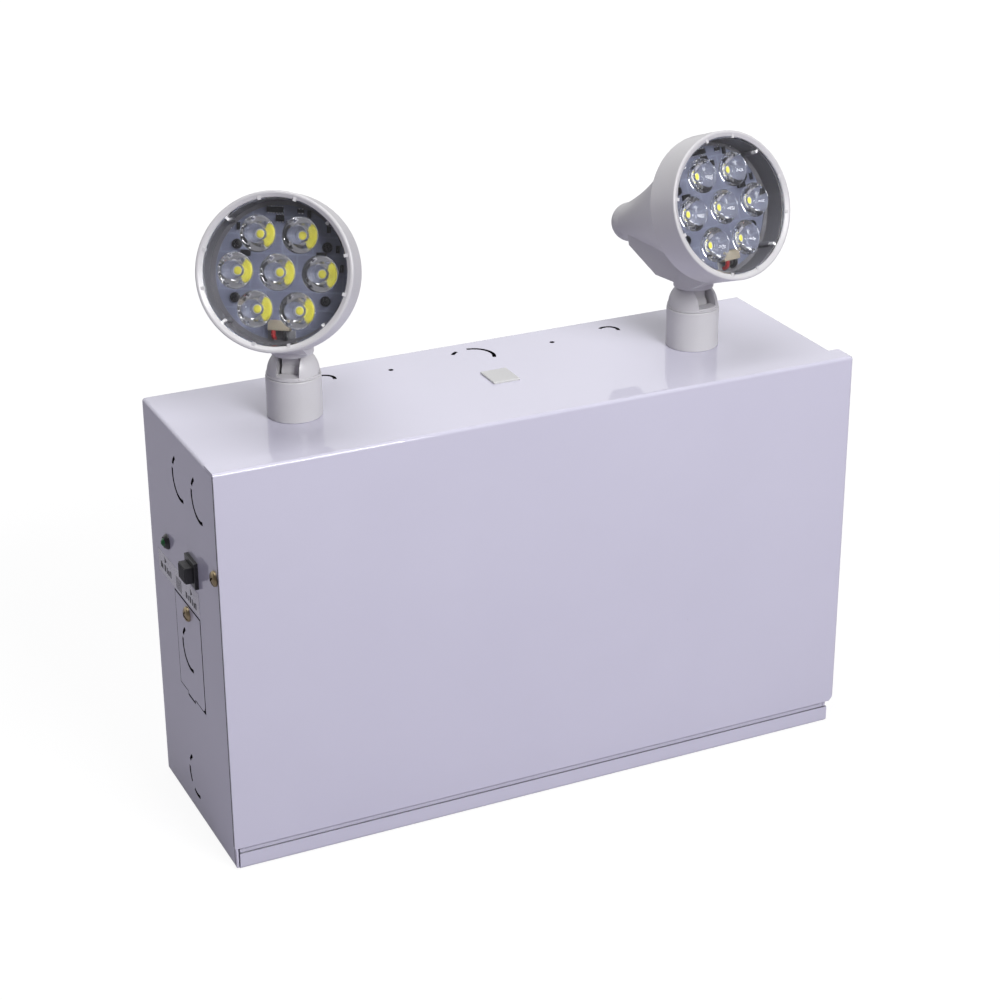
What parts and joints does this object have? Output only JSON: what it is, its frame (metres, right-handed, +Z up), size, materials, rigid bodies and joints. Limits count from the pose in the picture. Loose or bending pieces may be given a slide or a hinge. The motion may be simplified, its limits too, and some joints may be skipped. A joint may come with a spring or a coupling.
{
  "type": "emergency light unit",
  "caption": "Wall-mounted emergency light: painted steel battery cabinet with swivelling, tilting LED lamp heads on top, and a test button and indicator on its side.",
  "frame": {"origin": "middle of the cabinet's flat bottom face", "axes": "+X to the right seen from the front, -Y out of the front cover, +Z up"},
  "size_m": [0.3591, 0.1203, 0.3355],
  "materials": {
    "cabinet_paint": "gloss",
    "lamp_plastic": "satin",
    "clear_plastic": "clear",
    "lamp_board": "satin",
    "phosphor": "matte",
    "black_plastic": "satin",
    "black_steel": "satin",
    "brass": "satin",
    "zinc_steel": "satin",
    "green_lens": "gloss",
    "pale_plastic": "satin",
    "battery_case": "matte",
    "winding": "satin",
    "laminations": "matte",
    "charger_board": "satin",
    "relay_case": "gloss",
    "can_sleeve": "gloss",
    "terminal_green": "satin",
    "red_wire": "satin",
    "black_wire": "satin",
    "yellow_wire": "satin"
  },
  "bodies": {
    "cabinet": {"back_box": "cabinet_paint", "front_cover": "cabinet_paint", "access_plate": "cabinet_paint", "panel_screws": "brass", "blanking_plug": "pale_plastic", "indicator_bezel": "black_plastic", "indicator_led": "green_lens", "switch_body": "black_plastic", "switch_terminals": "zinc_steel", "battery": "battery_case", "battery_terminals": "zinc_steel", "battery_strap": "zinc_steel", "strap_screws": "zinc_steel", "transformer_core": "laminations", "transformer_coil": "winding", "transformer_frame": "zinc_steel", "transformer_screws": "zinc_steel", "charger_board": "charger_board", "board_standoffs": "zinc_steel", "charger_screws": "zinc_steel", "relay": "relay_case", "capacitors": "can_sleeve", "terminal_block": "terminal_green", "battery_lead_red": "red_wire", "battery_lead_black": "black_wire", "switch_leads": "yellow_wire", "left_lamp_lead": "black_wire", "right_lamp_lead": "black_wire", "left_collar": "lamp_plastic", "right_collar": "lamp_plastic", "left_locknut": "zinc_steel", "right_locknut": "zinc_steel"},
    "test_button": {"test_button": "black_plastic"},
    "left_swivel": {"left_dome": "lamp_plastic", "left_pin": "zinc_steel", "left_retainer": "zinc_steel"},
    "left_head": {"left_housing": "lamp_plastic", "left_lens": "clear_plastic", "left_led_board": "lamp_board", "left_optics": "clear_plastic", "left_emitters": "phosphor", "left_board_screws": "black_steel", "left_board_chips": "black_plastic", "left_lead_red": "red_wire", "left_lead_black": "black_wire"},
    "right_swivel": {"right_dome": "lamp_plastic", "right_pin": "zinc_steel", "right_retainer": "zinc_steel"},
    "right_head": {"right_housing": "lamp_plastic", "right_lens": "clear_plastic", "right_led_board": "lamp_board", "right_optics": "clear_plastic", "right_emitters": "phosphor", "right_board_screws": "black_steel", "right_board_chips": "black_plastic", "right_lead_red": "red_wire", "right_lead_black": "black_wire"}
  },
  "joints": [
    {"name": "left_pan", "type": "hinge", "parent": "cabinet", "child": "left_swivel", "pos_m": [-0.1128, 0.0015, 0.2385], "axis": [0, 0, 1], "range_deg": [-136, 204]},
    {"name": "left_tilt", "type": "hinge", "parent": "left_swivel", "child": "left_head", "pos_m": [-0.1128, 0.0015, 0.2385], "axis": [0.829, -0.5592, 0], "range_deg": [0, 38]},
    {"name": "right_pan", "type": "hinge", "parent": "cabinet", "child": "right_swivel", "pos_m": [0.1128, 0.0015, 0.2385], "axis": [0, 0, 1], "range_deg": [-180.5, 159.5]},
    {"name": "right_tilt", "type": "hinge", "parent": "right_swivel", "child": "right_head", "pos_m": [0.1128, 0.0015, 0.2385], "axis": [0.9833, 0.1822, 0], "range_deg": [0, 38]},
    {"name": "button_press", "type": "slide", "parent": "cabinet", "child": "test_button", "axis": [1, 0, 0], "range_m": [0, 0.0025], "stiffness_N_per_m": 300, "springref_m": -0.003}
  ]
}
